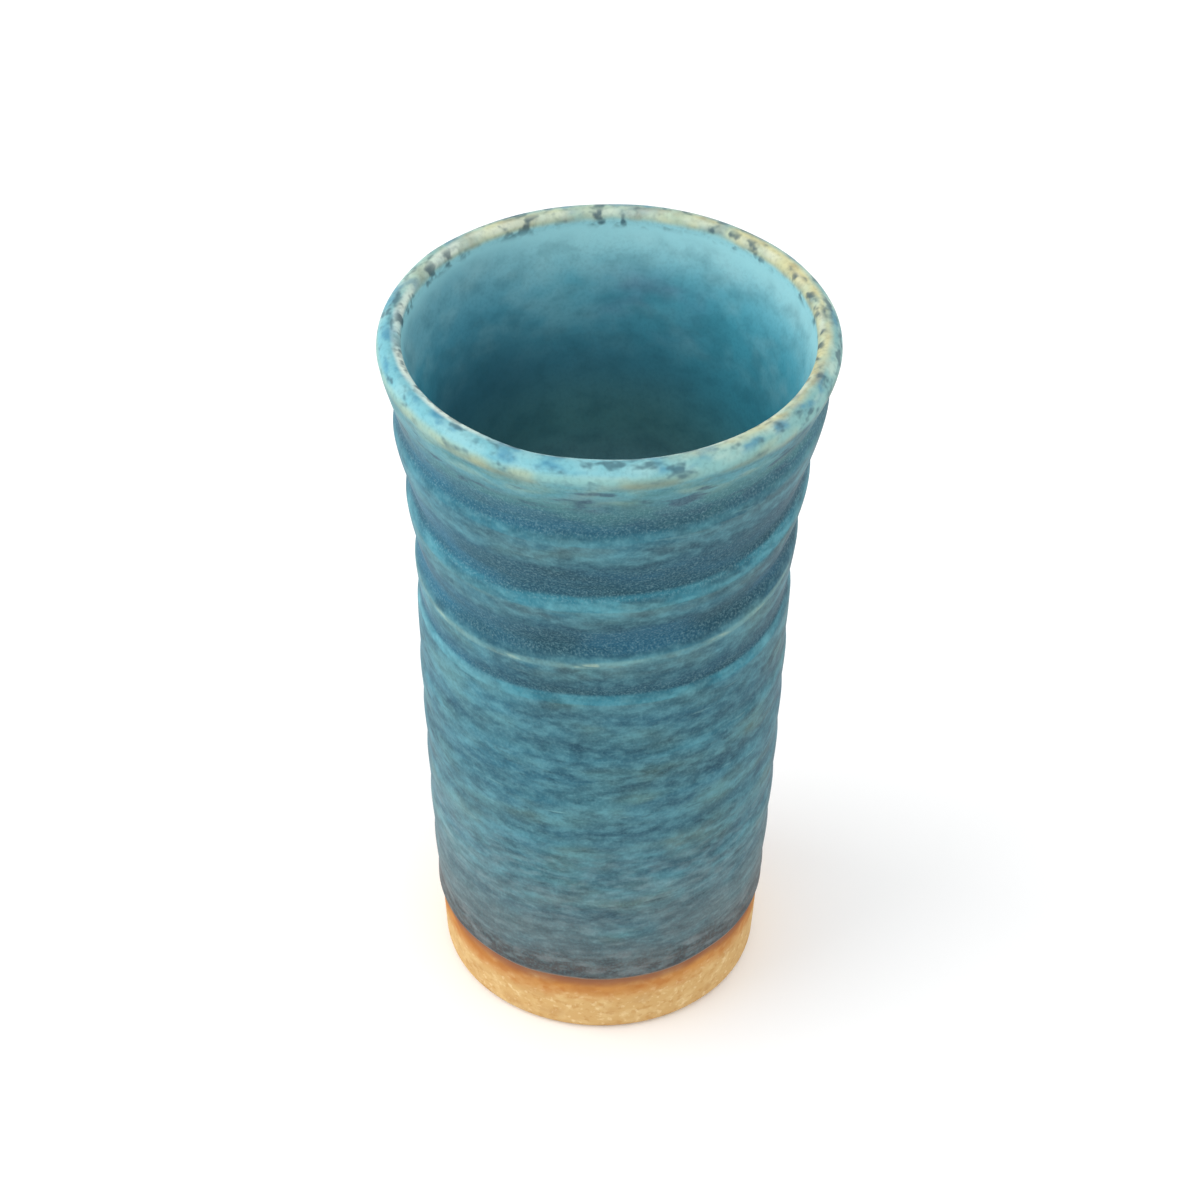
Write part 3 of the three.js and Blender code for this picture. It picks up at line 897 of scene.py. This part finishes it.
# %% Layers of the lip
LIP_GLAZE_AND_PAINTED_LIGHT = [
    ("#80AEAC", 0.95, [("over_lip", -1.2, 0.3), ("over_lip", 4.6, 3.6)]),
    ("#BFD5C4", 0.62, [("over_lip", 0.0, 1.4), ("over_lip", 4.6, 3.8), ((6, 3), 0.40, 0.68)]),
    ("#68AEBF", 0.66, [("lip_straw", 0.50, 0.15), ("over_lip", 0.2, 1.2), ("over_lip", 4.6, 3.8)]),
    ("#3F7F9C", 0.72, [("over_lip", 0.4, 1.6), ("over_lip", 4.4, 3.6), ((4, 2.6), 0.45, 0.66)]),
    ("#70735A", 0.60, [("over_lip", -1.6, -0.5), ("over_lip", 0.8, -0.3), ((11, 4), 0.42, 0.66)]),
    ("#A8AD88", 0.50, [("over_lip", -1.6, -0.2), ("over_lip", 1.4, 0.2), ((8, 4), 0.46, 0.70)]),
    ("#CCC796", 0.90, [("lip_straw", 0.2, 0.9), ("over_lip", 1.8, 2.8), ("over_lip", 4.8, 3.8),
                       ((7, 4), 0.24, 0.60)]),
    ("#8E8060", 0.50, [("lip_straw", 0.1, 0.7), ("over_lip", 1.6, 2.6), ("over_lip", 5.0, 4.0),
                       ((3, 2.4), 0.46, 0.74)]),
    # pale inner edge: partly the glaze breaking thin, partly a painted highlight
    ("#D6E2D8", 0.35, [("over_lip", 2.8, 3.3), ("over_lip", 4.2, 3.6), ((6, 4), 0.40, 0.64)]),
    # painted highlight on the inner edge of the left side, where the key softbox falls, partly pale
    # glaze
    ("#DEE8D8", 0.75, [("side", -0.3, -0.8), ("over_lip", 2.4, 3.1), ("over_lip", 4.2, 3.6),
                       ((8, 4), 0.30, 0.58)]),
    ("#3D5C68", 0.72, [("over_lip", -1.0, 0.4), ("over_lip", 3.4, 2.6), ((2.8, 1.5), 0.51, 0.69)]),
    ("#3B5661", 0.82, [("over_lip", 2.6, 3.5), ("over_lip", 6.0, 4.7), ((2.2, 2.0), 0.50, 0.66),
                       ((10, 8), 0.28, 0.50)]),
    ("#122F3A", 0.14, [("over_lip", -3.0, -1.5), ("over_lip", 6.0, 4.5), ((0.6, 0.6), 0.42, 0.74)]),
]
print("layers of the lip:", len(LIP_GLAZE_AND_PAINTED_LIGHT))

# %% [markdown]
# ### From layers to glaze
# All three coats are one glaze, so one function makes the shader and each coat gets its own layers.
# The lip gets those of both walls with its own on top. Fired glaze is glass, with an index of about
# 1.5. Its satin look comes from a medium roughness and a low specular level, which leave a soft sheen
# and no glint. The grain is drawn coarser than the real one, which is too fine to be seen.

# %% Glaze
GLAZE_COLOUR = "#335C6A"
GLAZE_ROUGHNESS = 0.5
GLAZE_SPECULAR = 0.09
GRAIN_SIZE = 0.6 * MM
GRAIN_DEPTH = 0.08 * MM
GRAIN_STRENGTH = 0.35


def glaze(name, layers):
    """A satin glaze with its layers of colour, painted light and shade among them, and a fine grain."""
    material, tree, shader = new_material(name)
    tree.links.new(paint(tree, linear(GLAZE_COLOUR), layers), shader.inputs["Base Color"])
    shader.inputs["Roughness"].default_value = GLAZE_ROUGHNESS
    shader.inputs["IOR"].default_value = CERAMIC_IOR
    shader.inputs["Specular IOR Level"].default_value = GLAZE_SPECULAR
    roughen(tree, shader, GRAIN_SIZE, GRAIN_DEPTH, GRAIN_STRENGTH)
    print(name, "has", len(layers), "layers")
    return material


outer_look = glaze("dipped_satin_copper_glaze", WALL_GLAZE_AND_PAINTED_LIGHT)
lip_look = glaze("thin_satin_copper_glaze", WALL_GLAZE_AND_PAINTED_LIGHT + LINER_GLAZE_AND_PAINTED_LIGHT + LIP_GLAZE_AND_PAINTED_LIGHT)
liner_look = glaze("poured_satin_copper_glaze", LINER_GLAZE_AND_PAINTED_LIGHT)

# %% [markdown]
# ## Putting the cup together
# Each piece gets its finish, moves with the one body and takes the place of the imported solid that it
# was modelled for.

# %% Give each piece its finish, its body and the node that it stands for
dressed = [
    (body, stoneware, "stoneware_body", "stoneware"),
    (outer_coat, outer_look, "outer_glaze", "outer_glaze"),
    (lip_coat, lip_look, "lip_glaze", "lip_glaze"),
    (liner_coat, liner_look, "liner_glaze", "liner_glaze"),
]
for piece, material, node, slot in dressed:
    piece.data.materials.append(material)
    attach(piece, "root")
    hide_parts(node)
    print(piece.name, "stands for", node)
